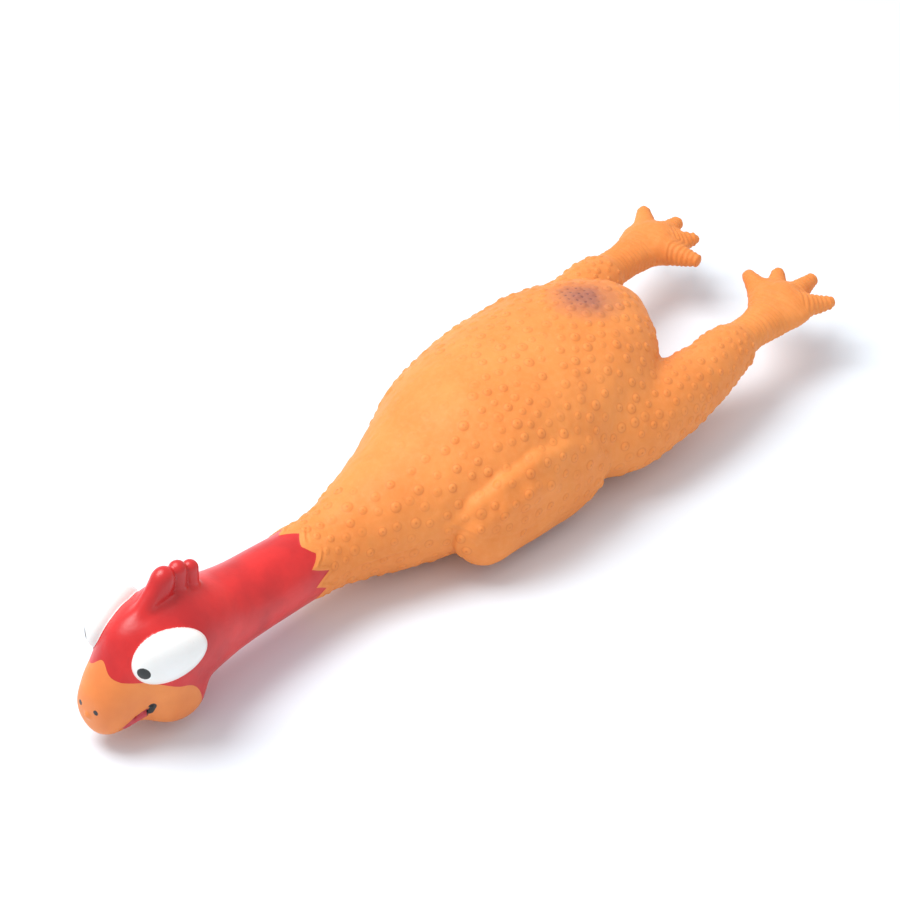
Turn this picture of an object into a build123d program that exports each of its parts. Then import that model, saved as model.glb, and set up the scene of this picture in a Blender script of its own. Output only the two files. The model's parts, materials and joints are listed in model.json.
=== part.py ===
"""A hollow moulded latex rubber chicken with a loose fibre filling and a squeaker in its belly.

The toy lies on its belly. The origin is on the floor under the middle of the torso, +Z is up, the head
points along -Y, the feet along +Y, and the toy's left side is +X. All sizes are in millimetres.

The skin is one moulding. It is divided here where it flexes: at the neck, the head, the hips and the
ankles, and around the oval of the back that a hand presses in to sound the squeaker. Each division is a
ball on the moving section in a round socket on its parent, so a section turns without meeting the other.
"""

import os

from build123d import *

os.makedirs("parts", exist_ok=True)

# ---- driving dimensions --------------------------------------------------------------------------------

wall = 1.8                      # latex skin thickness
joint_gap = 0.4                 # clearance between a ball and its socket
ball_over_skin = 1.12           # ball radius over the radius of the skin that it divides
air_way_radius = 4.0            # opening that lets air pass from one section to the next
paint = 0.3                     # how far a painted spot stands out

# Pivots of the flexing places, and the skin's radius at each.
neck_root, neck_root_radius = Vector(0, -94, 25.5), 14.4
neck_middle, neck_middle_radius = Vector(0, -121, 27), 13.8
head_base, head_base_radius = Vector(0, -148, 28.5), 15.2
hip, hip_radius = Vector(38.3, 103, 26), 14.2
ankle, ankle_radius = Vector(39, 140, 29), 7.6

# Sections of the torso and the head: place along Y, half width, lowest point, highest point.
torso_sections = [
    (-94, 14.4, 11.1, 39.9),
    (-82, 18, 7.5, 44),
    (-62, 26, 3, 50.5),
    (-38, 35.5, 0, 58),
    (-8, 42.5, -1.5, 65),
    (26, 45.5, -1.5, 67.5),
    (56, 42.5, 1, 67),
    (78, 33, 8, 63.5),
    (94, 19, 22, 57.5),
    (101, 8, 34, 50),
]
head_sections = [
    (-148, 15.2, 13.3, 43.7),
    (-160, 19.5, 8, 50.5),
    (-173, 22.5, 5.5, 55),
    (-186, 21, 6, 53),
    (-198, 17, 6.5, 45.5),
    (-208, 13, 7, 37),
    (-214, 9, 8.5, 30.5),
    (-217.5, 4, 12, 23),
]

# Sections of the thigh and the drumstick: place along Y, place along X, height, radius.
thigh_sections = [(26, 32, 25, 12), (52, 35, 24.5, 18), (78, 37, 25, 17), (103, 38.3, 26, hip_radius)]
drumstick_sections = [
    (103, 38.3, 26, hip_radius),
    (114, 38.6, 27, 13.6),
    (125, 39, 28, 12),
    (132, 39, 28.5, 9.4),
    (140, 39, 29, ankle_radius),
]
leg_lean = 7                    # both legs and feet lean to the toy's right, as the soft toy lies

# Sections of the folded wing: place along Y, place along X, height, half thickness, half height.
wing_sections = [
    (-51, 31, 22, 3, 8),
    (-41, 34, 21, 6, 13),
    (-26, 38.5, 24, 7.5, 17),
    (-4, 42, 25, 7, 17.5),
    (18, 43.5, 25, 6, 15.5),
    (34, 44, 24.5, 4.5, 10),
    (43, 44, 24, 2, 4),
]

# The cheeks, the tail stub, and the comb as lobes: place along Y, height of the tip, radius.
cheek_centre, cheek_radii = Vector(11, -181, 14), (10, 15, 9.5)
tail_centre, tail_radii = Vector(0, 93, 47), (13, 9, 9)
comb_lobes = [(-185, 59, 7), (-176, 66, 6.5), (-168, 68, 6), (-161.5, 65, 5)]
comb_thickness, comb_root_height = 12, 34

# The eyes: centre, half bulge, half length and half height, and the turn that follows the head's taper.
eye_centre, eye_radii, eye_turn = Vector(16.5, -185, 41.5), (8, 16.5, 11.5), -16
pupil_place, pupil_radius = (-197, 38), 2.4         # along Y, and height
nostril_place, nostril_radius = (-213, 24), 1.2
mouth_place, mouth_radius = (-196.5, 20), 1.6
tongue_place, tongue_length, tongue_height, tongue_slope = (-203, 17), 11, 3.4, 22

# The beak is everything under a slope through these two points of the middle plane.
beak_top, beak_back = Vector(0, -207, 37), Vector(0, -176, 20)

# The foot: palm sections, as of the thigh with a height, and the toes' reach from the palm's centre.
palm_sections = [
    (140, 39, 29, ankle_radius, ankle_radius),
    (149, 38.5, 29, 8, 7),
    (157, 37.5, 29, 12, 6.5),
    (166, 36, 29, 16, 5.5),
    (176, 34, 29, 14, 3.5),
]
palm_centre = Vector(38, 161, 29)
toe_reaches = [Vector(-23, 9, 0), Vector(-15, 20, 0), Vector(0, 26, 0), Vector(16, 20, 0)]
toe_root_radius, toe_tip_radius = 5.4, 3.7

# The pressed oval of the back.
press_centre_y, press_half_width, press_half_length, press_floor = 20, 24, 42, 45

# The squeaker, upright in a recess of the belly.
squeaker_y = 20
recess_radius, recess_depth = 11.0, 1.8
lip_radius, lip_top, boss_radius = 8.05, 4.0, 15.0
case_flange_radius, case_inner_flange_radius, case_barrel_radius = 10.5, 10.0, 8.0
case_bottom, case_floor, case_inner_flange_top, case_top = 0.5, 2.0, 5.2, 16.0
vent_radius, case_lower_bore_radius, case_upper_bore_radius = 1.5, 5.8, 6.5
holder_radius, holder_bottom, holder_top = 6.45, 10.5, 13.0
trough_radius, trough_bottom, groove_radius, groove_bottom = 3.5, 4.0, 1.6, 5.2
reed_width, reed_thickness, reed_bottom, reed_top = 5.4, 0.25, 4.4, 12.6
reed_lift, reed_play = 0.35, 0.2          # gap to the trough at rest, and clearance where it is held
clamp_thickness = 1.4
cap_thickness, cap_spigot, cap_spigot_wall = 1.4, 1.4, 1.2
sound_hole_radius, sound_hole_circle, sound_hole_count = 0.9, 3.8, 6

# The fibre filling of the torso, as torso sections, and the wad in the head.
filling_sections = [
    (-70, 13, 13, 41),
    (-45, 26, 8, 50),
    (-10, 36, 6, 58),
    (26, 39, 6, 60),
    (58, 34, 9, 58),
    (72, 20, 20, 50),
]
squeaker_pocket_radius, squeaker_pocket_top = 11.5, 19.0
head_wad_centre, head_wad_radii = Vector(0, -181, 29), (14, 17, 15)


# ---- shapes used more than once ------------------------------------------------------------------------

def across(x, y, z):
    """The plane square to the toy's length at a point."""
    return Plane(origin=(x, y, z), x_dir=(1, 0, 0), z_dir=(0, 1, 0))


def oval_loft(sections, inset=0.0):
    """Lofts ovals on the middle plane, from (y, half width, low, high), each inset by a wall."""
    with BuildPart() as body:
        for y, half_width, low, high in sections:
            with BuildSketch(across(0, y, (low + high) / 2)):
                Ellipse(half_width - inset, (high - low) / 2 - inset)
        loft()
    return body.part


def tube_loft(sections, inset=0.0):
    """Lofts ovals beside the middle plane, from (y, x, z, radius) or (y, x, z, half width, half height)."""
    with BuildPart() as body:
        for y, x, z, radius, *half_height in sections:
            with BuildSketch(across(x, y, z)):
                Ellipse(radius - inset, (half_height[0] if half_height else radius) - inset)
        loft()
    return body.part


def ellipsoid(centre, radii, turn=0.0):
    """An ellipsoid with its half sizes along X, Y and Z, turned about its own upright axis."""
    with BuildPart() as body:
        Sphere(1)
        scale(by=tuple(radii))
    return body.part.rotate(Axis.Z, turn).moved(Location(centre))


def ball(centre, radius, extra=0.0):
    """The ball that divides the skin at a pivot."""
    with BuildPart() as body:
        with Locations(centre):
            Sphere(radius * ball_over_skin + extra)
    return body.part


def air_way(centre, reach):
    """A rod along Y from a pivot, that opens its ball to the parent."""
    with BuildPart() as body:
        with BuildSketch(across(*centre)):
            Circle(air_way_radius)
        extrude(amount=reach)
    return body.part


def neck_section(start, start_radius, end, end_radius):
    """A hollow neck section with a ball at its start and a socket at its end."""
    stations = [(p.Y, p.X, p.Z, r) for p, r in ((start, start_radius), (end, end_radius))]
    outside, inside = tube_loft(stations), tube_loft(stations, wall)
    with BuildPart() as body:
        add(outside)
        add(ball(start, start_radius))
        add(inside, mode=Mode.SUBTRACT)
        add(ball(start, start_radius, -wall), mode=Mode.SUBTRACT)
        add(air_way(start, 2 * start_radius), mode=Mode.SUBTRACT)
        add(ball(end, end_radius, joint_gap), mode=Mode.SUBTRACT)
    return body.part


def toe(start, end):
    """A toe that tapers from the palm to a domed tip."""
    with BuildPart() as body:
        with BuildSketch(Plane(origin=start, z_dir=end - start)):
            Circle(toe_root_radius)
        with BuildSketch(Plane(origin=end, z_dir=end - start)):
            Circle(toe_tip_radius)
        loft()
        with Locations(start):
            Sphere(toe_root_radius)
        with Locations(end):
            Sphere(toe_tip_radius)
    return body.part


def side_spot(sketch, over, under):
    """A thin spot of paint on the left side, between a surface and the same surface grown by the paint."""
    with BuildPart() as spot:
        extrude(sketch, amount=60)
        add(over, mode=Mode.INTERSECT)
        add(under, mode=Mode.SUBTRACT)
    return spot.part


def side_round(place, radius):
    """A round drawn on the middle plane at (along Y, height)."""
    with BuildSketch(Plane.YZ) as spot:
        with Locations(place):
            Circle(radius)
    return spot.sketch


def leaned(part, pivot, angle, side=1):
    """A part turned about the upright axis through a pivot of the left side, or of the right for side -1."""
    return part.rotate(Axis((side * pivot.X, pivot.Y, pivot.Z), (0, 0, 1)), angle)


def save(part, label):
    """Labels a finished piece and writes it as parts/label.step."""
    part.label = label
    export_step(part, f"parts/{label}.step")


# ---- torso and the pressed oval of its back ------------------------------------------------------------

with BuildPart() as torso_hollow:
    add(oval_loft(torso_sections[:-1], wall))
    split(bisect_by=Plane.XY.offset(wall), keep=Keep.TOP)

thigh_outside, thigh_hollow = tube_loft(thigh_sections), tube_loft(thigh_sections, wall)
wing = tube_loft(wing_sections)

with BuildPart() as closed_torso:
    add(oval_loft(torso_sections))
    add([ellipsoid(tail_centre, tail_radii), thigh_outside, wing])
    mirror([thigh_outside, wing], about=Plane.YZ)
    add([torso_hollow.part, thigh_hollow], mode=Mode.SUBTRACT)
    mirror(thigh_hollow, about=Plane.YZ, mode=Mode.SUBTRACT)

with BuildPart() as press_opening:
    with BuildSketch(Plane.XY.offset(press_floor)):
        with Locations((0, press_centre_y)):
            Ellipse(press_half_width + joint_gap, press_half_length + joint_gap)
    extrude(amount=40)

hip_socket = ball(hip, hip_radius, joint_gap)

with BuildPart() as torso_skin:
    add(closed_torso.part)
    # The belly is flat where it rests, and thickens around the squeaker that it grips.
    with BuildSketch(Plane.XY.offset(-1)):
        with Locations((0, squeaker_y)):
            Circle(boss_radius)
    extrude(amount=lip_top + 1)
    split(bisect_by=Plane.XY, keep=Keep.TOP)
    add([hip_socket, ball(neck_root, neck_root_radius, joint_gap)], mode=Mode.SUBTRACT)
    mirror(hip_socket, about=Plane.YZ, mode=Mode.SUBTRACT)
    add(press_opening.part, mode=Mode.SUBTRACT)
    with Locations(Plane((0, squeaker_y, 0), z_dir=(0, 0, -1))):
        CounterBoreHole(lip_radius, recess_radius, recess_depth, depth=lip_top + 1)
save(torso_skin.part, "torso_skin")

with BuildPart() as back_press_panel:
    with BuildSketch(Plane.XY.offset(press_floor)):
        with Locations((0, press_centre_y)):
            Ellipse(press_half_width, press_half_length)
    extrude(amount=40)
    add(closed_torso.part, mode=Mode.INTERSECT)
save(back_press_panel.part, "back_press_panel")

# ---- fibre filling -------------------------------------------------------------------------------------

with BuildPart() as body_stuffing:
    add(oval_loft(filling_sections))
    with Locations((0, squeaker_y, 0)):
        Cylinder(squeaker_pocket_radius, squeaker_pocket_top, align=(Align.CENTER, Align.CENTER, Align.MIN),
                 mode=Mode.SUBTRACT)
save(body_stuffing.part, "body_stuffing")

with BuildPart() as head_stuffing:
    add(ellipsoid(head_wad_centre, head_wad_radii))
save(head_stuffing.part, "head_stuffing")

# ---- neck ----------------------------------------------------------------------------------------------

with BuildPart() as lower_neck_skin:
    add(neck_section(neck_root, neck_root_radius, neck_middle, neck_middle_radius))
save(lower_neck_skin.part, "lower_neck_skin")

with BuildPart() as upper_neck_skin:
    add(neck_section(neck_middle, neck_middle_radius, head_base, head_base_radius))
save(upper_neck_skin.part, "upper_neck_skin")

# ---- head and beak -------------------------------------------------------------------------------------

head_outside = oval_loft(head_sections)
head_grown = oval_loft(head_sections, -paint)

with BuildPart() as comb:
    for lobe_y, lobe_top, lobe_radius in comb_lobes:
        half_height = (lobe_top - comb_root_height) / 2
        add(ellipsoid(Vector(0, lobe_y, lobe_top - half_height), (comb_thickness / 2, lobe_radius, half_height)))

cheek = ellipsoid(cheek_centre, cheek_radii)

with BuildPart() as closed_head:
    add([head_outside, comb.part, ball(head_base, head_base_radius), cheek])
    mirror(cheek, about=Plane.YZ)
    add(oval_loft(head_sections[:-1], wall), mode=Mode.SUBTRACT)
    add(ball(head_base, head_base_radius, -wall), mode=Mode.SUBTRACT)
    add(air_way(head_base, 2 * head_base_radius), mode=Mode.SUBTRACT)

beak_slope = Plane(origin=beak_top, x_dir=(1, 0, 0), z_dir=(beak_back - beak_top).cross(Vector(-1, 0, 0)))

with BuildPart() as head_skin:
    add(closed_head.part)
    split(bisect_by=beak_slope, keep=Keep.TOP)
save(head_skin.part, "head_skin")

with BuildPart() as beak_skin:
    add(closed_head.part)
    split(bisect_by=beak_slope, keep=Keep.BOTTOM)
save(beak_skin.part, "beak_skin")

# ---- eyes, and the painted spots of the face -----------------------------------------------------------

eye_bulge = ellipsoid(eye_centre, eye_radii, eye_turn)
eye_bulge_grown = ellipsoid(eye_centre, [radius + paint for radius in eye_radii], eye_turn)

with BuildPart() as left_eye:
    add(eye_bulge)
    add([head_outside, comb.part], mode=Mode.SUBTRACT)
save(left_eye.part, "left_eye")

with BuildPart() as right_eye:
    mirror(left_eye.part, about=Plane.YZ)
save(right_eye.part, "right_eye")

with BuildPart() as left_pupil:
    add(side_spot(side_round(pupil_place, pupil_radius), eye_bulge_grown, [eye_bulge, head_outside]))
save(left_pupil.part, "left_pupil")

with BuildPart() as right_pupil:
    mirror(left_pupil.part, about=Plane.YZ)
save(right_pupil.part, "right_pupil")

with BuildPart() as left_nostril:
    add(side_spot(side_round(nostril_place, nostril_radius), head_grown, head_outside))
save(left_nostril.part, "left_nostril")

with BuildPart() as right_nostril:
    mirror(left_nostril.part, about=Plane.YZ)
save(right_nostril.part, "right_nostril")

with BuildPart() as left_mouth_corner:
    add(side_spot(side_round(mouth_place, mouth_radius), head_grown, head_outside))
save(left_mouth_corner.part, "left_mouth_corner")

with BuildPart() as right_mouth_corner:
    mirror(left_mouth_corner.part, about=Plane.YZ)
save(right_mouth_corner.part, "right_mouth_corner")

with BuildSketch(Plane.YZ) as tongue_outline:
    with Locations(tongue_place):
        SlotOverall(tongue_length, tongue_height, rotation=tongue_slope)

with BuildPart() as left_tongue_edge:
    add(side_spot(tongue_outline.sketch, head_grown, [head_outside, left_mouth_corner.part]))
save(left_tongue_edge.part, "left_tongue_edge")

with BuildPart() as right_tongue_edge:
    mirror(left_tongue_edge.part, about=Plane.YZ)
save(right_tongue_edge.part, "right_tongue_edge")

# ---- legs and feet -------------------------------------------------------------------------------------

with BuildPart() as straight_leg:
    add([tube_loft(drumstick_sections), ball(hip, hip_radius)])
    add(tube_loft(drumstick_sections, wall), mode=Mode.SUBTRACT)
    add(ball(hip, hip_radius, -wall), mode=Mode.SUBTRACT)
    add(air_way(hip, -2 * hip_radius), mode=Mode.SUBTRACT)
    add(ball(ankle, ankle_radius, joint_gap), mode=Mode.SUBTRACT)

with BuildPart() as straight_foot:
    add([tube_loft(palm_sections), ball(ankle, ankle_radius)])
    for reach in toe_reaches:
        add(toe(palm_centre + reach * 0.25, palm_centre + reach))

with BuildPart() as left_leg_skin:
    add(leaned(straight_leg.part, hip, leg_lean))
save(left_leg_skin.part, "left_leg_skin")

with BuildPart() as right_leg_skin:
    add(leaned(straight_leg.part.mirror(Plane.YZ), hip, leg_lean, side=-1))
save(right_leg_skin.part, "right_leg_skin")

with BuildPart() as left_foot:
    add(leaned(straight_foot.part, hip, leg_lean))
save(left_foot.part, "left_foot")

with BuildPart() as right_foot:
    add(leaned(straight_foot.part.mirror(Plane.YZ), hip, leg_lean, side=-1))
save(right_foot.part, "right_foot")

# ---- squeaker ------------------------------------------------------------------------------------------

squeaker_axis = Axis((0, squeaker_y, 0), (0, 0, 1))
standing_on = (Align.CENTER, Align.CENTER, Align.MIN)
hanging_from = (Align.CENTER, Align.CENTER, Align.MAX)

with BuildPart() as squeaker_case:
    with BuildSketch(Plane.XZ.offset(-squeaker_y)):
        with BuildLine():
            Polyline(
                (vent_radius, case_bottom),
                (case_flange_radius, case_bottom),
                (case_flange_radius, recess_depth),
                (case_barrel_radius, recess_depth),
                (case_barrel_radius, lip_top),
                (case_inner_flange_radius, lip_top),
                (case_inner_flange_radius, case_inner_flange_top),
                (case_barrel_radius, case_inner_flange_top),
                (case_barrel_radius, case_top),
                (case_upper_bore_radius, case_top),
                (case_upper_bore_radius, holder_bottom),
                (case_lower_bore_radius, holder_bottom),
                (case_lower_bore_radius, case_floor),
                (vent_radius, case_floor),
                close=True,
            )
        make_face()
    revolve(axis=squeaker_axis)
save(squeaker_case.part, "squeaker_case")

with BuildPart() as reed_holder:
    with Locations((0, squeaker_y, holder_bottom)):
        Cylinder(holder_radius, holder_top - holder_bottom, align=standing_on)
    # A half-round trough hangs from the disc, with the reed over its open side.
    with BuildSketch(Plane.XY.offset(trough_bottom)):
        with Locations((0, squeaker_y)):
            Circle(trough_radius)
            Rectangle(2 * trough_radius, trough_radius, align=(Align.CENTER, Align.MIN), mode=Mode.SUBTRACT)
    extrude(amount=holder_bottom - trough_bottom)
    with BuildSketch(Plane.XY.offset(groove_bottom)):
        with Locations((0, squeaker_y)):
            Circle(groove_radius)
            Rectangle(2 * groove_radius, groove_radius, align=(Align.CENTER, Align.MIN), mode=Mode.SUBTRACT)
    extrude(amount=holder_top - groove_bottom, mode=Mode.SUBTRACT)
    # The slot in the disc that takes the reed's upper end and its clamp.
    with BuildSketch(Plane.XY.offset(holder_bottom)):
        with Locations((0, squeaker_y + reed_lift - reed_play)):
            Rectangle(reed_width + 2 * reed_play, reed_thickness + 2 * reed_play + clamp_thickness,
                      align=(Align.CENTER, Align.MIN))
    extrude(amount=holder_top - holder_bottom, mode=Mode.SUBTRACT)
save(reed_holder.part, "reed_holder")

with BuildPart() as squeaker_reed:
    with Locations((0, squeaker_y + reed_lift, reed_bottom)):
        Box(reed_width, reed_thickness, reed_top - reed_bottom, align=(Align.CENTER, Align.MIN, Align.MIN))
save(squeaker_reed.part, "squeaker_reed")

with BuildPart() as reed_clamp:
    with Locations((0, squeaker_y + reed_lift + reed_thickness + reed_play, holder_bottom)):
        Box(reed_width + 2 * reed_play, clamp_thickness, holder_top - holder_bottom,
            align=(Align.CENTER, Align.MIN, Align.MIN))
save(reed_clamp.part, "reed_clamp")

with BuildPart() as squeaker_cap:
    with Locations((0, squeaker_y, case_top)):
        Cylinder(case_barrel_radius, cap_thickness, align=standing_on)
        Cylinder(case_upper_bore_radius - 0.05, cap_spigot, align=hanging_from)
        Cylinder(case_upper_bore_radius - cap_spigot_wall, cap_spigot, align=hanging_from, mode=Mode.SUBTRACT)
    with Locations((0, squeaker_y, case_top + cap_thickness)):
        Hole(sound_hole_radius)
        with PolarLocations(sound_hole_circle, sound_hole_count):
            Hole(sound_hole_radius)
save(squeaker_cap.part, "squeaker_cap")
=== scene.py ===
"""The looks of a latex rubber chicken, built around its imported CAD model.

Shapes are worked out in millimetres in the CAD frame: +Z up, the head towards -Y, the toy's left is +X.
The skin starts as one distance field, with ovals lofted along the toy and joined smoothly to wings, legs,
toes, comb and eyes. It becomes one mesh, gets its raised texture, and is cut along the paint borders and the
flexing places. Each cut piece then rides on a CAD body or bends between two.
"""

import json
import math

import bpy
import numpy as np
import openvdb
from mathutils import Vector
from mathutils.kdtree import KDTree
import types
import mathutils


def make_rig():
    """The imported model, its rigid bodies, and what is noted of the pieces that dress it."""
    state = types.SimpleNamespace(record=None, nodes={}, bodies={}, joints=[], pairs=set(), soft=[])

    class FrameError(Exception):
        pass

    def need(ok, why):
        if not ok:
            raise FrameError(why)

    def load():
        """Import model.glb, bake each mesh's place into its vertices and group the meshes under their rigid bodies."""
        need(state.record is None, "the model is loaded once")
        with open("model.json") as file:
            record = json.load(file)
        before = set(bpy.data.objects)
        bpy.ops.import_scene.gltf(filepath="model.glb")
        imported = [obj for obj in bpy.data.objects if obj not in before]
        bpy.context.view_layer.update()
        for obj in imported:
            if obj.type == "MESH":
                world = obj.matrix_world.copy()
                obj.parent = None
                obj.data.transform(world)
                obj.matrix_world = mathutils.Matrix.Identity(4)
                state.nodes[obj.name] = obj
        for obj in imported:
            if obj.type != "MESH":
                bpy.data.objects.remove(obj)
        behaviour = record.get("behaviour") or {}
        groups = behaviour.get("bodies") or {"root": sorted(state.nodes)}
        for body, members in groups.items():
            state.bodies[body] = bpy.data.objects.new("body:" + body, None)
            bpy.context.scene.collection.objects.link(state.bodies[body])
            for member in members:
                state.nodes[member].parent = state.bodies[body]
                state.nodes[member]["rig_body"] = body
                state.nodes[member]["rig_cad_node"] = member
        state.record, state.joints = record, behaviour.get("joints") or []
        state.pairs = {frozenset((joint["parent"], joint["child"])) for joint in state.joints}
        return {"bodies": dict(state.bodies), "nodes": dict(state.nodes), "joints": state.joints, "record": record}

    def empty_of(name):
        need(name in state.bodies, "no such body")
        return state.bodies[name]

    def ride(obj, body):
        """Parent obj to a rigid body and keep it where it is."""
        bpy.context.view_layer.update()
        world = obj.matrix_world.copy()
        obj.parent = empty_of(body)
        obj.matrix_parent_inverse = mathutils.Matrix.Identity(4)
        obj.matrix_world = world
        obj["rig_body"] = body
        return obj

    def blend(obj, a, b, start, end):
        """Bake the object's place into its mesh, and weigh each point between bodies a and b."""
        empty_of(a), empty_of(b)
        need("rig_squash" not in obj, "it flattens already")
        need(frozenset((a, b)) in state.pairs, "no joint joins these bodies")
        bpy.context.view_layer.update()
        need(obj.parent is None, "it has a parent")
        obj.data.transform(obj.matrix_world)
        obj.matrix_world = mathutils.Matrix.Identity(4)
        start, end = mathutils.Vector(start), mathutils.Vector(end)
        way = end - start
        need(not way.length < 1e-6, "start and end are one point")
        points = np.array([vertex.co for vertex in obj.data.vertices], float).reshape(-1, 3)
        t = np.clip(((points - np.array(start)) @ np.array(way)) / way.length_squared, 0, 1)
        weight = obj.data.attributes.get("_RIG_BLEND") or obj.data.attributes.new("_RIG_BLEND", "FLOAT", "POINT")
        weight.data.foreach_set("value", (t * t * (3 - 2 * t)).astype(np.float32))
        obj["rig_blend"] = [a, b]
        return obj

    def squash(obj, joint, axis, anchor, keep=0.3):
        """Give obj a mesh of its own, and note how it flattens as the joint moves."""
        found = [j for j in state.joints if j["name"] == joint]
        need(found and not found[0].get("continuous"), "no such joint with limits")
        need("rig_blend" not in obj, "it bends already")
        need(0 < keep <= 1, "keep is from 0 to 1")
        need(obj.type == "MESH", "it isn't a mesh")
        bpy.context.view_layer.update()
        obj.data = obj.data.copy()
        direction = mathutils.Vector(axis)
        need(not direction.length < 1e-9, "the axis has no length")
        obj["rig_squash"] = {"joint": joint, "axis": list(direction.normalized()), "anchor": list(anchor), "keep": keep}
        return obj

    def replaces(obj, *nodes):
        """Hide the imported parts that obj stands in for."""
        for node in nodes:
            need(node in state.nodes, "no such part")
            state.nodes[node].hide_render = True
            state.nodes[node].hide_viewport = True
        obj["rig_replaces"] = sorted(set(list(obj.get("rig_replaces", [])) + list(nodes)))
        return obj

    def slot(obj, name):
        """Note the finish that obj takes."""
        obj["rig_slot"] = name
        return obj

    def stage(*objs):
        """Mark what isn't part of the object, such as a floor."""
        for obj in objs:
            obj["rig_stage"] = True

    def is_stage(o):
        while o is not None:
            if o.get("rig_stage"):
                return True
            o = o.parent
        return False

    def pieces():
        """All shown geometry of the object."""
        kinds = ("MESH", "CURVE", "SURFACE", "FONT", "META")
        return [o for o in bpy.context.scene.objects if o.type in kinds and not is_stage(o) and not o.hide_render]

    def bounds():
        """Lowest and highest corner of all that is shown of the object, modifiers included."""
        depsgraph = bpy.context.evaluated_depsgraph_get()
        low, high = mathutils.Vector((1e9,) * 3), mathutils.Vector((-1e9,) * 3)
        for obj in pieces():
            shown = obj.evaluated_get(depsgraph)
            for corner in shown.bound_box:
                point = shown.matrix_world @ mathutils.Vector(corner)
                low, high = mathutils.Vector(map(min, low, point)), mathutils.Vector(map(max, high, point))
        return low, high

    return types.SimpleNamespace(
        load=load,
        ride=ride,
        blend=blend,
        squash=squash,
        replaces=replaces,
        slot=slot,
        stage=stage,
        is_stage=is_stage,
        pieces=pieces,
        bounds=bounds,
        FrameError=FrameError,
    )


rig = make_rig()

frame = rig.load()
cad_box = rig.bounds()

MM = 0.001
JOINT = {joint["name"]: joint for joint in frame["joints"]}


def pivot(joint):
    """A joint's place in millimetres."""
    return np.array(JOINT[joint]["pos_m"]) / MM


# ---- sizes of the skin, in millimetres -----------------------------------------------------------------

VOXEL = 0.72                    # spacing of the grid that the skin is sampled on
BLOCK = 6                       # grid points along a block's side: the grid is filled block by block
BAND = 5.0                      # how far from the skin the grid is filled
GRID_MARGIN = 7                 # how far the grid reaches past the CAD model

# Ovals of the head, neck and torso: place along Y, half width, lowest point, highest point.
TRUNK_ROWS = (
    (-215.8, 0, 17.5, 17.5),
    (-214.4, 7, 10, 26),
    (-211.8, 9.8, 7.8, 31),
    (-208, 12.1, 6.8, 36.4),
    (-198, 15.6, 6.3, 45.2),
    (-186, 20.6, 6, 53),
    (-173, 20.2, 8.6, 55.5),
    (-160, 18.8, 10.6, 52),
    (-148, 17, 11.8, 47),
    (-134, 16, 11.8, 44.2),
    (-121, 15.8, 11.6, 43),
    (-107, 15.5, 11, 41.8),
    (-94, 15.9, 10, 41.3),
    (-82, 18.5, 7.5, 44),
    (-62, 25.2, 3, 50.2),
    (-38, 34.2, 0, 57),
    (-8, 44.2, -1.5, 65.8),
    (26, 47.3, -1.5, 68.2),
    (56, 45, 1, 68),
    (78, 35.5, 8, 65.2),
    (93, 21, 21, 59.5),
    (102, 0, 40, 40),
)

# How far the soft body has sagged sideways: place along Y, shift along X.
SAG_ROWS = ((-217, -2.3), (-190, 0), (-100, 0), (-50, 3), (-20, 1.2), (20, -1.8), (60, -3.5), (90, -3.8))

# Ovals of the left wing: place along Y, place along X, height, half thickness, half height.
WING_ROWS = (
    (-50, 31, 20.5, 0, 0),
    (-42, 34, 20.5, 6, 12),
    (-28, 37.5, 23.5, 7.5, 17.5),
    (-10, 40.2, 24.2, 8, 20.3),
    (8, 42.2, 24, 8, 19.8),
    (22, 44, 23.5, 7.2, 15.5),
    (31.5, 45.5, 23.5, 0, 0),
)
WING_UPPER_RIDGE = (
    (27.5, -50, 27),
    (33.2, -38, 34.5),
    (36.7, -25, 40),
    (39.4, -8, 43),
    (41.4, 8, 41),
    (44.2, 20, 34.5),
    (45.7, 27, 27),
)
WING_FOLD_RIDGE = ((36.6, -42, 26), (40.8, -30, 32), (43.8, -18, 34.5), (45.6, -6, 33))
WING_RIDGE_RADIUS = 3.0
ELBOW_CENTRE, ELBOW_RADII = (35.5, -30, 14.6), (9, 15, 9.8)
WING_SHIFT = {1: (0, 0, 2.5), -1: (-2.5, 5, -6)}    # outward, back and up: the left wing lies higher

# Ovals of the left leg, before it leans: place along Y, place along X, height, half width, half height.
LEG_ROWS = (
    (20, 31, 25, 0, 0),
    (30, 32.5, 25, 13, 13),
    (52, 35, 24.5, 18, 18),
    (78, 37, 25, 17, 17),
    (99, 38.3, 26, 14.4, 14.2),
    (110, 38.6, 27, 13.1, 13.2),
    (120, 39, 28, 11.8, 11.8),
    (126, 39, 28.5, 10.8, 10.5),
    (129, 39, 28.8, 9.2, 8.9),
    (132, 39, 29, 8.5, 8.1),
    (140, 39.2, 29, 8.3, 7.7),
    (149, 39.4, 29, 9.8, 7.6),
    (157, 38.8, 29, 13.2, 7),
    (165, 37.6, 29, 15.6, 6),
    (174, 36, 29, 11, 3.8),
    (178, 35, 29, 0, 0),
)
LEG_LEAN = math.radians(7)
LEG_SHIFT = {1: (-2, 0, 1.3), -1: (-1, 0, 1)}        # how the soft legs lie, by side
FOOT_SHIFT = {1: (1.6, 0, -0.4), -1: (1.7, 0, -1.7)}
TOES = {                                            # reach of each toe's tip from the palm's middle, by side
    1: ((-23, 13), (-13.5, 22), (1, 27), (16, 17)),
    -1: ((-23, 2), (-13, 15), (0, 21.5), (17, 20)),
}
PALM_MIDDLE = (38, 161, 29)
TOE_ROOT_RADIUS, TOE_TIP_RADIUS = 7.0, 3.1
KNUCKLE_CENTRE, KNUCKLE_RADIUS = (36.5, 168, 31.5), 4.2

TAIL_CENTRE, TAIL_RADII = (-1, 92.5, 47.5), (13, 9.5, 10)

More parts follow.
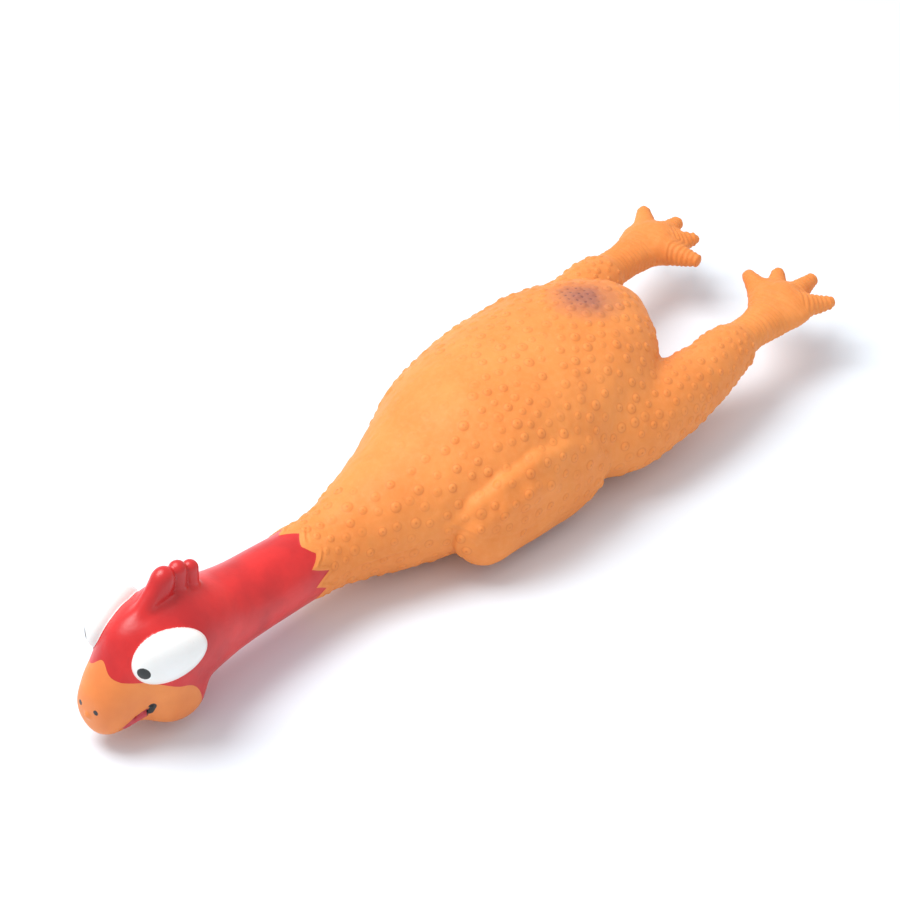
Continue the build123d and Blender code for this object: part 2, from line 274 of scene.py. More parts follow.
# The head: cheeks, crown, the hooked tip of the beak, the comb, the mouth and the nostrils.
# A rod is given by its start, its end and its radius at each.
CHEEK_CENTRE, CHEEK_RADII = (10.8, -182.5, 14), (9.6, 13, 9.3)
CROWN_CENTRE, CROWN_RADII = (0, -191, 38.5), (12.3, 12.5, 14)
TIP_CENTRE, TIP_RADII = (0, -208.4, 16.7), (8.8, 7, 10.2)
COMB_FIN = ((0, -193, 47), (0, -177, 61.5), 4.0, 3.8)
COMB_ROOT = ((0, -190, 48), (0, -163, 48), 4.0, 4.0)
COMB_FINGERS = (
    ((0, -178, 48), (0, -174.5, 63.5), 4.6, 4.0),
    ((0, -170, 48), (0, -167.8, 62.7), 4.3, 3.8),
    ((0, -163, 47), (0, -161.6, 59.8), 4.1, 3.4),
)
MOUTH = ((0, -212, 6), (8.7, -207.2, 11.2), (12.3, -202.5, 15.9), (15, -197.8, 19.2))
MOUTH_RADIUS = 1.2
TONGUE = ((9.3, -206.5, 12.1), (13.8, -199.8, 17.4), 1.3, 1.3)
TONGUE_PAINT_RADIUS = 2.0
MOUTH_CORNER = ((15.7, -197.5, 20.4), (15.0, -198.4, 17.4), 1.7, 1.6)
NOSTRIL, NOSTRIL_RADIUS = (4.3, -214.7, 21), 1.3

EYE_CENTRE, EYE_RADII = (16.5, -188.3, 42.2), (8, 15.6, 10.8)
EYE_TURN, EYE_TILT = math.radians(-16), math.radians(4)
PUPIL, PUPIL_HALF = (-12.8, 0.4), (2.1, 2.8)        # place along and across the eye, and half sizes

# Where the skin is cut, along Y.
TORSO_MIDDLE_CUT, HIP_CUT, ANKLE_CUT = 5, 97, 132.5
NECK_CUT, NECK_MIDDLE_CUT, HEAD_CUT = -82, -107.5, -134.5
LEG_INNER, RUMP_END = 20.5, 112     # the rump's half width between the legs, and where it ends

POCKET_Y, POCKET_RADIUS, POCKET_TOP = 20, 11, 18.3  # the squeaker's pocket in the belly

# How softly things join: the radius of the fillet, roughly.
WING_FILLET, LEG_FILLET, TOE_FILLET, EYE_FILLET, COMB_FILLET = 2.6, 6, 3.5, 0.7, 2.2


# ---- distances -----------------------------------------------------------------------------------------

def join(a, b, rounding):
    """The union of two distances, with a fillet."""
    near = np.maximum(rounding - np.abs(a - b), 0) / rounding
    return np.minimum(a, b) - near * near * rounding / 4


def carve(a, b, rounding):
    """The first distance with the second taken out of it, with a fillet."""
    return -join(-a, b, rounding)


def smooth_curve(at, places, values):
    """A curve through (place, value) pairs that never overshoots them."""
    step = np.diff(places)
    rise = np.diff(values) / step
    slope = np.r_[rise[0], np.zeros(len(rise) - 1), rise[-1]]
    same_way = rise[:-1] * rise[1:] > 0
    before, after = 2 * step[1:] + step[:-1], step[1:] + 2 * step[:-1]
    a, b = np.where(same_way, rise[:-1], 1), np.where(same_way, rise[1:], 1)
    slope[1:-1] = np.where(same_way, (before + after) / (before / a + after / b), 0)
    i = np.clip(np.searchsorted(places, at) - 1, 0, len(step) - 1)
    t = (at - places[i]) / step[i]
    return (values[i] * (1 + 2 * t) * (1 - t) ** 2 + slope[i] * step[i] * t * (1 - t) ** 2
            + values[i + 1] * t * t * (3 - 2 * t) + slope[i + 1] * step[i] * t * t * (t - 1))


class Loft:
    """Ovals along Y, from rows of (y, x, z, half width, half height)."""

    def __init__(self, rows):
        rows = np.array(rows, float)
        self.y = np.arange(rows[0, 0], rows[-1, 0], 0.2)
        self.x, self.z = (smooth_curve(self.y, rows[:, 0], rows[:, c]) for c in (1, 2))
        squares = (smooth_curve(self.y, rows[:, 0], rows[:, c] ** 2) for c in (3, 4))
        self.width, self.height = (np.sqrt(np.maximum(square, 1e-4)) for square in squares)

    def distance(self, p):
        at = np.clip(p[:, 1], self.y[0], self.y[-1])
        x = p[:, 0] - np.interp(at, self.y, self.x)
        z = p[:, 2] - np.interp(at, self.y, self.z)
        share = np.hypot(x / np.interp(at, self.y, self.width), z / np.interp(at, self.y, self.height))
        radial = np.hypot(x, z) * (1 - 1 / np.maximum(share, 1e-6))
        beyond = np.abs(p[:, 1] - at)
        return np.where(beyond > 0, np.hypot(np.maximum(radial, 0), beyond), radial)


def rod_distance(p, start, end, start_radius, end_radius):
    """Distance to a round rod that tapers from start to end."""
    start, along = np.array(start, float), np.subtract(end, start).astype(float)
    t = np.clip((p - start) @ along / (along @ along), 0, 1)
    away = np.linalg.norm(p - start - t[:, None] * along, axis=1)
    return away - start_radius - t * (end_radius - start_radius)


def chain_distance(p, points, radius, rounding=1.0):
    """Distance to rods of one radius through a row of points."""
    d = rod_distance(p, points[0], points[1], radius, radius)
    for start, end in zip(points[1:], points[2:]):
        d = join(d, rod_distance(p, start, end, radius, radius), rounding)
    return d


def egg_distance(p, centre, radii):
    """Distance, nearly, to an ellipsoid."""
    q = (p - np.array(centre, float)) / radii
    share = np.linalg.norm(q, axis=1)
    return share * (share - 1) / np.maximum(np.linalg.norm(q / radii, axis=1), 1e-9)


def turned(p, centre, angle):
    """Points turned back by an angle about an upright axis, and measured from it."""
    x, y = p[:, 0] - centre[0], p[:, 1] - centre[1]
    c, s = math.cos(angle), math.sin(angle)
    return np.stack([c * x + s * y, c * y - s * x, p[:, 2]], 1)


def wobble(p, size, seed):
    """Smooth noise, mostly within -1 to 1, with features of about a given size."""
    random = np.random.default_rng(seed)
    total = np.zeros(len(p))
    for _ in range(9):
        direction = random.normal(size=3)
        direction /= np.linalg.norm(direction)
        waves = p @ direction * math.tau / size * random.uniform(0.6, 1.2)
        total += np.sin(waves + random.uniform(0, math.tau))
    return total / 3


TRUNK = Loft([(y, 0, (low + high) / 2, half, (high - low) / 2) for y, half, low, high in TRUNK_ROWS])
WING = Loft(WING_ROWS)
LEG = Loft(LEG_ROWS)


def sagged(p):
    """Points measured from the middle plane of the sagged body."""
    q = p.copy()
    q[:, 0] -= np.interp(p[:, 1], *np.array(SAG_ROWS, float).T)
    return q


def mirrored(p):
    """Points of either side as points of the left side."""
    return np.abs(p * (1, 0, 0)) + p * (0, 1, 1)


def leg_frame(p, side):
    """Points measured along a leg of the toy's left (side 1) or right (side -1), before it leans."""
    hip = pivot("left_hip" if side > 0 else "right_hip")
    moved = p - np.clip((p[:, 1] - 50) / 60, 0, 1)[:, None] * LEG_SHIFT[side]
    moved -= np.clip((p[:, 1] - 122) / 28, 0, 1)[:, None] * FOOT_SHIFT[side]
    straight = turned(moved, hip, LEG_LEAN) + (hip[0], hip[1], 0)
    lean = np.clip((p[:, 1] - hip[1]) / 6, 0, 1)[:, None]
    return (moved * (1 - lean) + straight * lean) * (side, 1, 1)


def toe_rods(side):
    """Each toe's root, tip and radii, in a leg's own frame."""
    for x, y in TOES[side]:
        root, tip = np.add(PALM_MIDDLE, (x * 0.3, y * 0.2, 0)), np.add(PALM_MIDDLE, (x, y, 0))
        yield root, tip, TOE_ROOT_RADIUS, TOE_TIP_RADIUS


def leg_distance(p, side):
    """Distance to a leg with its foot."""
    q = leg_frame(p, side)
    d = LEG.distance(q)
    far = q[:, 1] > 140
    if far.any():
        foot = d[far]
        for rod in toe_rods(side):
            foot = join(foot, rod_distance(q[far], *rod), TOE_FILLET)
        d[far] = join(foot, egg_distance(q[far], KNUCKLE_CENTRE, [KNUCKLE_RADIUS] * 3), 5)
    return d


def wing_distance(p, side):
    """Distance to a wing, from points of either side as points of the left side."""
    q = p - WING_SHIFT[side]
    d = join(WING.distance(q), egg_distance(q, ELBOW_CENTRE, ELBOW_RADII), 6)
    d = join(d, chain_distance(q, WING_UPPER_RIDGE, WING_RIDGE_RADIUS, 4), 4)
    return join(d, chain_distance(q, WING_FOLD_RIDGE, WING_RIDGE_RADIUS, 4), 4)


def eye_place(q):
    """Points of the left side measured along the left eye: out, towards its back end, and up."""
    local = turned(q, EYE_CENTRE, EYE_TURN) - (0, 0, EYE_CENTRE[2])
    c, s = math.cos(EYE_TILT), math.sin(EYE_TILT)
    return np.stack([local[:, 0], c * local[:, 1] + s * local[:, 2], c * local[:, 2] - s * local[:, 1]], 1)


def eye_distance(q):
    """Distance to the left eye, which is a little taller at its front end."""
    local = eye_place(q)
    local[:, 2] /= 1 - 0.1 * np.clip(local[:, 1] / EYE_RADII[1], -1, 1)
    return egg_distance(local, (0, 0, 0), EYE_RADII)


def comb_distance(q):
    """Distance to the comb: a front fin and three fingers on a ridge."""
    d = rod_distance(q, *COMB_FINGERS[0])
    for finger in COMB_FINGERS[1:]:
        d = join(d, rod_distance(q, *finger), 0.5)
    d = join(d, rod_distance(q, *COMB_FIN), 4)
    return join(d, rod_distance(q, *COMB_ROOT), 2)


def head_distance(q, d):
    """The trunk's distance with the head's features added, but not the eyes."""
    for centre, radii, rounding in ((CHEEK_CENTRE, CHEEK_RADII, 6), (CROWN_CENTRE, CROWN_RADII, 8),
                                    (TIP_CENTRE, TIP_RADII, 5)):
        d = join(d, egg_distance(q, centre, radii), rounding)
    d = join(d, comb_distance(q), COMB_FILLET)
    d = carve(d, chain_distance(q, MOUTH, MOUTH_RADIUS), 0.8)
    d = join(d, rod_distance(q, *TONGUE), 0.5)
    start, end, start_radius, end_radius = MOUTH_CORNER
    return carve(d, rod_distance(q, start, end, start_radius * 0.5, end_radius * 0.5), 0.6)


def blind_skin_distance(p):
    """Distance to the skin without the eyes."""
    q = sagged(p)
    left = mirrored(q)
    d = TRUNK.distance(q)
    part = p[:, 1] < HEAD_CUT
    d[part] = head_distance(left[part], d[part])
    part = np.abs(p[:, 1] + 5) < 60
    for side in (1, -1):
        wing = part & (q[:, 0] * side > 0)
        d[wing] = join(d[wing], wing_distance(left[wing], side), WING_FILLET)
    part = p[:, 1] > 10
    for side in (1, -1):
        d[part] = join(d[part], leg_distance(p[part], side), LEG_FILLET)
    d[part] = join(d[part], egg_distance(q[part], TAIL_CENTRE, TAIL_RADII), LEG_FILLET)
    d = carve(d, p[:, 2], 0.6)
    pocket = np.hypot(p[:, 0], p[:, 1] - POCKET_Y) - POCKET_RADIUS
    return carve(d, np.maximum(pocket, p[:, 2] - POCKET_TOP), 0.4)


def skin_distance(p):
    """Distance to the whole skin."""
    d = blind_skin_distance(p)
    part = p[:, 1] < HEAD_CUT
    d[part] = join(d[part], eye_distance(mirrored(p[part])), EYE_FILLET)
    return d


# ---- from the distance to a mesh -----------------------------------------------------------------------

def grid_places(counts):
    """Every whole-number place in a box."""
    return np.stack(np.meshgrid(*(np.arange(n) for n in counts), indexing="ij"), -1).reshape(-1, 3)


def surface():
    """The skin as points and triangles, from a grid that is filled near the skin only."""
    low = np.array(cad_box[0]) / MM - GRID_MARGIN
    high = np.array(cad_box[1]) / MM + GRID_MARGIN
    block_counts = np.ceil((high - low) / VOXEL / BLOCK).astype(int)
    blocks = grid_places(block_counts)
    block_distance = skin_distance(low + (blocks * BLOCK + (BLOCK - 1) / 2) * VOXEL)
    values = np.where(block_distance < 0, -BAND, BAND).astype(np.float32).reshape(block_counts)
    for axis in range(3):
        values = np.repeat(values, BLOCK, axis)
    near = blocks[np.abs(block_distance) < BAND + BLOCK * VOXEL]
    corner = grid_places((BLOCK, BLOCK, BLOCK))
    for some in np.array_split(near, 12):
        cells = (some[:, None] * BLOCK + corner[None]).reshape(-1, 3)
        values[tuple(cells.T)] = skin_distance(low + cells * VOXEL)
    grid = openvdb.FloatGrid()
    grid.background = BAND
    grid.copyFromArray(values)
    points, triangles, quads = grid.convertToPolygons(isovalue=0.0, adaptivity=0.0)
    quads = quads.astype(int)
    return low + points.astype(float) * VOXEL, np.vstack([quads[:, [0, 1, 2]], quads[:, [0, 2, 3]]])


def slope_of(distance, p):
    """How a distance rises in each direction."""
    rise = np.zeros_like(p)
    for c in range(3):
        step = np.zeros(3)
        step[c] = 0.15
        rise[:, c] = (distance(p + step) - distance(p - step)) / 0.3
    return rise


def settled(p, triangles):
    """Points evened out along the skin, and put back exactly onto it."""
    pairs = np.vstack([triangles[:, [0, 1]], triangles[:, [1, 2]], triangles[:, [2, 0]]])
    pairs = np.vstack([pairs, pairs[:, ::-1]])
    count = np.bincount(pairs[:, 0], minlength=len(p))[:, None]
    for _ in range(3):
        mean = np.stack([np.bincount(pairs[:, 0], p[pairs[:, 1], c], len(p)) for c in range(3)], 1) / count
        p = p + (mean - p) * 0.6
        rise = slope_of(skin_distance, p)
        steepness = np.maximum((rise ** 2).sum(1), 0.04)[:, None]
        p = p - np.clip(rise * skin_distance(p)[:, None] / steepness, -0.8, 0.8)
    return p


def normals_of(p, triangles):
    """Each point's outward direction."""
    a, b, c = (p[triangles[:, i]] for i in range(3))
    face = np.cross(b - a, c - a)
    total = np.stack([sum(np.bincount(triangles[:, i], face[:, k], len(p)) for i in range(3))
                      for k in range(3)], 1)
    return total / np.maximum(np.linalg.norm(total, axis=1), 1e-12)[:, None]


def cut(mesh, triangles, values):
    """Splits triangles where values change sign. The mesh is arrays of one row per point."""
    edges = np.sort(np.vstack([triangles[:, [0, 1]], triangles[:, [1, 2]], triangles[:, [2, 0]]]), 1)
    edges, which = np.unique(edges, axis=0, return_inverse=True)
    which = which.reshape(3, -1).T
    a, b = values[edges[:, 0]], values[edges[:, 1]]
    crossed = a * b < 0
    start = len(values)
    new = np.full(len(edges), -1)
    new[crossed] = start + np.arange(crossed.sum())
    t = (a[crossed] / (a[crossed] - b[crossed]))[:, None]
    mesh = {name: np.vstack([rows, rows[edges[crossed, 0]] * (1 - t) + rows[edges[crossed, 1]] * t])
            for name, rows in mesh.items()}
    middle = new[which]
    split = (middle >= 0).sum(1)
    kept = [triangles[split == 0]]
    for i in range(3):
        corners, mids = np.roll(triangles, -i, 1), np.roll(middle, -i, 1)
        one = (split == 1) & (mids[:, 1] >= 0)
        (p, q, r), m = corners[one].T, mids[one, 1]
        kept += [np.stack([p, q, m], 1), np.stack([p, m, r], 1)]
        two = (split == 2) & (mids[:, 1] < 0)
        (p, q, r), m, n = corners[two].T, mids[two, 0], mids[two, 2]
        kept += [np.stack([p, m, n], 1), np.stack([m, q, r], 1), np.stack([m, r, n], 1)]
    return mesh, np.vstack(kept)


# ---- raised texture of the skin ------------------------------------------------------------------------

NUB_SPACING, NUB_RADIUS, NUB_HEIGHT = 5.9, 1.65, 0.66
FAINT_CENTRE, FAINT_RADII = (-10, -34, 52), (24, 40, 30)      # where the nubs are faint
BARE_TAIL = ((0, 98, 49), (14, 13, 12))                       # centres and radii of the ovals without nubs
BARE_WING = (((44, -38, 15), (13, 15, 14)), ((48, -12, 12), (12, 34, 9)))
RING_SPACING = 2.25             # between the scale rings of the shanks and toes
PIT_SPACING = 3.4               # between the pits on the rump

# The line where the two halves of the mould met, on the left side: place along Y, height.
PARTING_ROWS = (
    (-99, 26),
    (-66, 26.5),
    (-57, 32),
    (-50, 33),
    (-41, 27),
    (9, 16),
    (33, 9),
    (54, 12.5),
    (86, 11),
    (118, 16),
    (134, 24),
)


def collar_line(p):
    """How far a point is behind the zigzag border of the red paint."""
    angle = np.arctan2(p[:, 2] - 26.5, p[:, 0])
    uneven = 1 + 0.35 * np.sin(3 * angle + 1) + 0.2 * np.sin(5 * angle)
    zigzag = np.abs((angle / math.tau * 10 + 0.15 * np.sin(2 * angle)) % 1 * 2 - 1) * 2 - 1
    return p[:, 1] + 106.8 + 2.8 * zigzag * uneven


def nub_room(p):
    """The spacing of the nubs at each place, or 0 where there are none."""
    q = sagged(p)
    left = mirrored(q)
    _, y, z = left.T
    room = np.full(len(p), NUB_SPACING)
    room -= 0.9 * np.clip((y - 30) / 60, 0, 1) + 1.2 * np.clip((y - 95) / 20, 0, 1)
    room -= 0.6 * np.clip((-70 - y) / 20, 0, 1)
    bare = (y < -101) | (y > 127.5) | (z < 2.5)
    bare |= egg_distance(q, *BARE_TAIL) < 0
    for oval in BARE_WING:
        bare |= egg_distance(left, *oval) < 0
    bare |= np.abs(z - parting_height(left)) < 2.2
    return np.where(bare, 0, room)


def nub_places(p):
    """Points of the skin where nubs stand, chosen in a seeded order so that none are too close."""
    room = nub_room(p)
    taken = {}
    chosen = []
    for i in np.random.default_rng(7).permutation(len(p)):
        if room[i] == 0:
            continue
        cell = tuple((p[i] // NUB_SPACING).astype(int))
        around = [taken.get((cell[0] + a, cell[1] + b, cell[2] + c), ()) for a in (-1, 0, 1)
                  for b in (-1, 0, 1) for c in (-1, 0, 1)]
        if all(((p[i] - p[j]) ** 2).sum() > room[i] ** 2 for group in around for j in group):
            taken.setdefault(cell, []).append(i)
            chosen.append(i)
    return np.array(chosen)


def nubs(p):
    """Height of the nubs, low flat mounds, and each point's distance from its nub and its strength."""
    chosen = nub_places(p)
    random = np.random.default_rng(11)
    size = random.uniform(0.8, 1.15, len(chosen))
    size *= 1 - 0.22 * np.clip((p[chosen, 1] - 90) / 20, 0, 1)
    strength = random.uniform(0.45, 1.1, len(chosen))
    strength *= np.where(egg_distance(p[chosen], FAINT_CENTRE, FAINT_RADII) < 0, 0.3, 1)
    tree = KDTree(len(chosen))
    for i, j in enumerate(chosen):
        tree.insert(p[j], i)
    tree.balance()
    found = np.array([tree.find(point)[1:] for point in p])
    nearest = found[:, 0].astype(int)
    away = found[:, 1] / size[nearest]
    return NUB_HEIGHT * strength[nearest] * np.exp(-(away / NUB_RADIUS) ** 5), away, strength[nearest]


def parting_height(left):
    """Height at which the parting line runs, beside each point of the left side."""
    return np.interp(left[:, 1], *np.array(PARTING_ROWS, float).T)


def parting(p):
    """Height of the thin parting line along each side."""
    left = mirrored(sagged(p))
    off = left[:, 2] - parting_height(left)
    along = (left[:, 1] > -97) & (left[:, 1] < 131) & (left[:, 0] > 10)
    strength = 0.55 + 0.45 * wobble(p, 40, 5)
    line = np.exp(-(off / 0.55) ** 2) - 0.8 * np.exp(-((off + 1.3) / 0.6) ** 2)
    return np.where(along, 0.42 * line * np.clip(strength, 0, 1), 0)


def scale_rings(p):
    """Height of the scale rings across the shanks and the toes."""
    total = np.zeros(len(p))
    for side in (1, -1):
        part = (p[:, 1] > 126) & (p[:, 0] * side > 0) | (p[:, 1] > 150) & (p[:, 0] * side > -8)
        q = leg_frame(p[part], side)
        along = q[:, 1].copy()
        nearest = np.full(len(q), 1.5)
        for root, tip, root_radius, tip_radius in toe_rods(side):
            d = rod_distance(q, root + (tip - root) * 0.45, tip, root_radius - 1, tip_radius)
            reach = tip - root
            toe_along = (q - root) @ reach / np.linalg.norm(reach)
            along = np.where(d < nearest, toe_along, along)
            nearest = np.minimum(nearest, d)
        along += 0.35 * wobble(q, 9, 3)
        shank = np.clip((q[:, 1] - 130) / 3, 0, 1)
        palm = (nearest >= 1.5) & (q[:, 1] > 152)
        strength = np.where(palm, 0.09, 0.24) * shank
        total[part] = strength * np.cos(along * math.tau / RING_SPACING)
    return total


def pleats(p):
    """Height of the leaf shapes behind the collar's zigzag."""
    behind = collar_line(p)
    ridge = np.exp(-((behind - 2.6) / 0.7) ** 2) - np.exp(-((behind - 4.0) / 0.8) ** 2)
    step = 0.35 / (1 + np.exp(-behind * 3)) * np.clip((-88 - p[:, 1]) / 8, 0, 1)
    return 0.38 * ridge * (p[:, 1] > -112) * (p[:, 1] < -90) + step


def tail_pits(p):
    """Height, below zero, of the small dark pits on the rump."""
    q = sagged(p)
    x, y = q[:, 0], q[:, 1]
    column = np.round(x / PIT_SPACING)
    shifted = y - PIT_SPACING / 2 * (column % 2)
    row = np.round(shifted / PIT_SPACING)
    x_off, y_off = x - column * PIT_SPACING, shifted - row * PIT_SPACING
    jitter = 0.6 * np.sin(column * 12.9 + row * 7.1)
    pit = np.exp(-((x_off - jitter) ** 2 + (y_off + jitter) ** 2) / 0.5)
    patch = np.exp(-((x + 2) ** 2 + (y - 68) ** 2) / 150) * (q[:, 2] > 50)
    return -0.45 * pit * np.clip(patch * 1.6 - 0.3, 0, 1)


# ---- the mesh of the whole skin, and its pieces --------------------------------------------------------

def rough_skin():
    """The skin's triangles, and its arrays: smooth place, textured place, outward direction and marks.

    The marks are the distance to the nearest nub, that nub's strength and the depth of the rump's pits.
    """
    base, triangles = surface()
    base = settled(base, triangles)
    out = normals_of(base, triangles)
    inward = (out * slope_of(skin_distance, base)).sum() < 0
    if inward:
        triangles, out = triangles[:, ::-1], -out
    raised, away, strength = nubs(base)
    pocket = np.hypot(base[:, 0], base[:, 1] - POCKET_Y) < POCKET_RADIUS + 1
    body = np.clip((base[:, 1] + 112) / 12, 0, 1) * ~(pocket & (base[:, 2] < POCKET_TOP + 1))
    height = raised * body + parting(base) + scale_rings(base) + pleats(base) + tail_pits(base)
    height += body * (0.2 * wobble(base, 16, 1) + 0.06 * wobble(base, 4, 2))
    height *= ~pocket | (base[:, 2] > POCKET_TOP + 1)
    height = np.where(base[:, 2] < 0.8, np.minimum(height, 0), height)
    place = base + out * height[:, None]
    place[:, 2] = np.maximum(place[:, 2], 0)
    marks = np.stack([away, strength * body, tail_pits(base)], 1)
    return {"base": base, "place": place, "normal": normals_of(place, triangles), "marks": marks}, triangles


def leg_part(p):
    """Less than zero on the legs and feet. Behind the rump there is nothing else."""
    inner = np.where(p[:, 1] < RUMP_END, LEG_INNER - np.abs(p[:, 0]), -1)
    return np.maximum(HIP_CUT - p[:, 1], inner)


def eye_part(p):
    """Less than zero on the eyes."""
    away = np.full(len(p), 9.0)
    part = (p[:, 1] < -160) & (np.abs(p[:, 0]) > 4)
    away[part] = eye_distance(mirrored(p[part])) - blind_skin_distance(p[part])
    return away


def beak_part(p):
    """Less than zero on the beak, cheeks and jaw."""
    dip = (3 - 5.5 * np.exp(-((p[:, 0] + 2) / 4) ** 2)) * np.clip((-198 - p[:, 1]) / 8, 0, 1)
    above = p[:, 2] - (37.5 - 0.5 * (p[:, 1] + 207)) + dip
    behind = p[:, 1] + 176.5
    return -join(-above, -behind, 9)


def nostril_part(p):
    """Less than zero on the nostrils."""
    return np.linalg.norm(mirrored(sagged(p)) - NOSTRIL, axis=1) - NOSTRIL_RADIUS


def mouth_corner_part(p):
    """Less than zero on the hooks where the mouth ends."""
    return rod_distance(mirrored(sagged(p)), *MOUTH_CORNER)


def tongue_part(p):
    """Less than zero on the tongue's edges."""
    start, end = TONGUE[:2]
    return rod_distance(mirrored(sagged(p)), start, end, TONGUE_PAINT_RADIUS, TONGUE_PAINT_RADIUS)


def pupil_part(p):
    """Less than zero on the pupils."""
    local = eye_place(mirrored(p))
    oval = np.hypot((local[:, 1] - PUPIL[0]) / PUPIL_HALF[0], (local[:, 2] - PUPIL[1]) / PUPIL_HALF[1])
    return np.where(local[:, 0] > 0, oval - 1, 1)


BORDERS = {
    "torso_middle": lambda p: p[:, 1] - TORSO_MIDDLE_CUT,
    "neck": lambda p: p[:, 1] - NECK_CUT,
    "neck_middle": lambda p: p[:, 1] - NECK_MIDDLE_CUT,
    "head": lambda p: p[:, 1] - HEAD_CUT,
    "leg": leg_part,
    "foot": lambda p: ANKLE_CUT - p[:, 1],
    "red": collar_line,
    "eye": eye_part,
    "beak": beak_part,
    "pupil": pupil_part,
    "nostril": nostril_part,
    "mouth_corner": mouth_corner_part,
    "tongue": tongue_part,
}


def cut_skin():
    """The skin's arrays and triangles, cut along every border, with each triangle's side of each border."""
    mesh, triangles = rough_skin()
    for distance in BORDERS.values():
        values = distance(mesh["base"])
        values[np.abs(values) < 0.03] = 0
        mesh, triangles = cut(mesh, triangles, values)
    centre = mesh["base"][triangles].mean(1)
    sides = {name: distance(centre) < 0 for name, distance in BORDERS.items()}
    return mesh, triangles, sides, centre[:, 0] > 0


def piece_labels(sides, left):
    """The name of the piece that each triangle belongs to."""
    label = np.full(len(left), "rear_torso_latex", dtype="<U32")
    label[sides["torso_middle"]] = "front_torso_latex"
    label[sides["neck"]] = "lower_neck_latex"
    label[sides["neck_middle"]] = "upper_neck_latex"
    label[sides["head"]] = "head_latex"
    label[sides["head"] & sides["beak"]] = "beak_latex"
    for name, part in (("leg_latex", sides["leg"]), ("foot_latex", sides["leg"] & sides["foot"]),
                       ("eye_dome", sides["eye"]), ("pupil_paint", sides["eye"] & sides["pupil"]),
                       ("tongue_paint", sides["beak"] & sides["tongue"]),
                       ("mouth_corner_paint", sides["beak"] & sides["mouth_corner"]),
                       ("nostril_paint", sides["beak"] & sides["nostril"])):
        label[part & left] = "left_" + name
        label[part & ~left] = "right_" + name
    return label


def link_mesh(name, points, faces, normals=None):
    """A new object of points in millimetres."""
    data = bpy.data.meshes.new(name)
    data.from_pydata((points * MM).tolist(), [], faces.tolist())
    data.polygons.foreach_set("use_smooth", np.ones(len(faces), bool))
    if normals is not None:
        data.normals_split_custom_set_from_vertices(normals.tolist())
    piece = bpy.data.objects.new(name, data)
    bpy.context.scene.collection.objects.link(piece)
    return piece


def skin_piece(name, mesh, triangles, chosen, materials, second=None):
    """One piece of the skin. Triangles marked in second take the second material."""
    faces = triangles[chosen]
    used, faces = np.unique(faces, return_inverse=True)
    piece = link_mesh(name, mesh["place"][used], faces.reshape(-1, 3), mesh["normal"][used])
    rest = piece.data.attributes.new("rest", "FLOAT_VECTOR", "POINT")
    rest.data.foreach_set("vector", (mesh["base"][used] * MM).astype(np.float32).ravel())
    marks = piece.data.attributes.new("marks", "FLOAT_VECTOR", "POINT")
    marks.data.foreach_set("vector", mesh["marks"][used].astype(np.float32).ravel())
    for material in materials:
        piece.data.materials.append(material)
    if second is not None:
        piece.data.polygons.foreach_set("material_index", second[chosen].astype(np.int32))
    return piece


# ---- materials -----------------------------------------------------------------------------------------

class Nodes:
    """A node material in the making."""

    def __init__(self, name):
        self.material = bpy.data.materials.new(name)
        self.material.use_nodes = True
        self.tree = self.material.node_tree
        self.shader = self.tree.nodes["Principled BSDF"]

    def add(self, kind, inputs=(), **settings):
        """A new node, with its inputs and settings."""
        node = self.tree.nodes.new(kind)
        for key, value in settings.items():
            setattr(node, key, value)
        for key, value in dict(inputs).items():
            self.put(value, node.inputs[key])
        return node

    def put(self, value, socket):
        """Links a value into a socket, or sets the socket to a plain value."""
        if isinstance(value, bpy.types.NodeSocket):
            self.tree.links.new(value, socket)
        else:
            socket.default_value = value

    def place(self):
        """The rest position in metres, which stays with the skin as it bends."""
        return self.add("ShaderNodeAttribute", attribute_name="rest").outputs["Vector"]

    def noise(self, place, scale, detail=2.0, roughness=0.5):
        return self.add("ShaderNodeTexNoise", {"Vector": place, "Scale": scale, "Detail": detail,
                                               "Roughness": roughness}).outputs["Fac"]

    def math(self, operation, a, b):
        node = self.add("ShaderNodeMath", operation=operation)
        self.put(a, node.inputs[0])
        self.put(b, node.inputs[1])
        return node.outputs[0]

    def ramp(self, value, low, high):
        """A value stretched so that low is 0 and high is 1."""
        node = self.add("ShaderNodeMapRange", {"Value": value, "From Min": low, "From Max": high})
        return node.outputs["Result"]

    def mix(self, share, a, b):
        node = self.add("ShaderNodeMix", data_type="RGBA")
        for socket, value in ((node.inputs[0], share), (node.inputs[6], a), (node.inputs[7], b)):
            self.put(value, socket)
        return node.outputs[2]

    def vector_math(self, operation, a, *b):
        """The node of an operation on one vector or two."""
        return self.add("ShaderNodeVectorMath", enumerate((a, *b)), operation=operation)

    def profile(self, value, stops):
        """A smooth curve through (value, height) stops. The first stop's value is 0."""
        node = self.add("ShaderNodeValToRGB", {"Fac": self.math("MULTIPLY", value, 1 / stops[-1][0])})
        node.color_ramp.interpolation = "EASE"
        elements = node.color_ramp.elements
        for place, _ in stops[1:-1]:
            elements.new(place / stops[-1][0])
        for element, (place, height) in zip(elements, stops):
            element.position = place / stops[-1][0]
            element.color = (height, height, height, 1)
        return node.outputs["Color"]

    def bump(self, height, distance, strength=1.0):
        node = self.add("ShaderNodeBump", {"Height": height, "Distance": distance, "Strength": strength})
        return node.outputs["Normal"]

    def finish(self, **inputs):
        """The material, with the shader's inputs given by name, an underscore for each space."""
        for key, value in inputs.items():
            self.put(value, self.shader.inputs[key.replace("_", " ")])
        return self.material


def colour(red, green, blue):
    """A colour given as a screen shows it, 0 to 255, in the renderer's linear values."""
    return tuple(((c / 255 + 0.055) / 1.055) ** 2.4 if c > 10 else c / 255 / 12.92
                 for c in (red, green, blue)) + (1,)


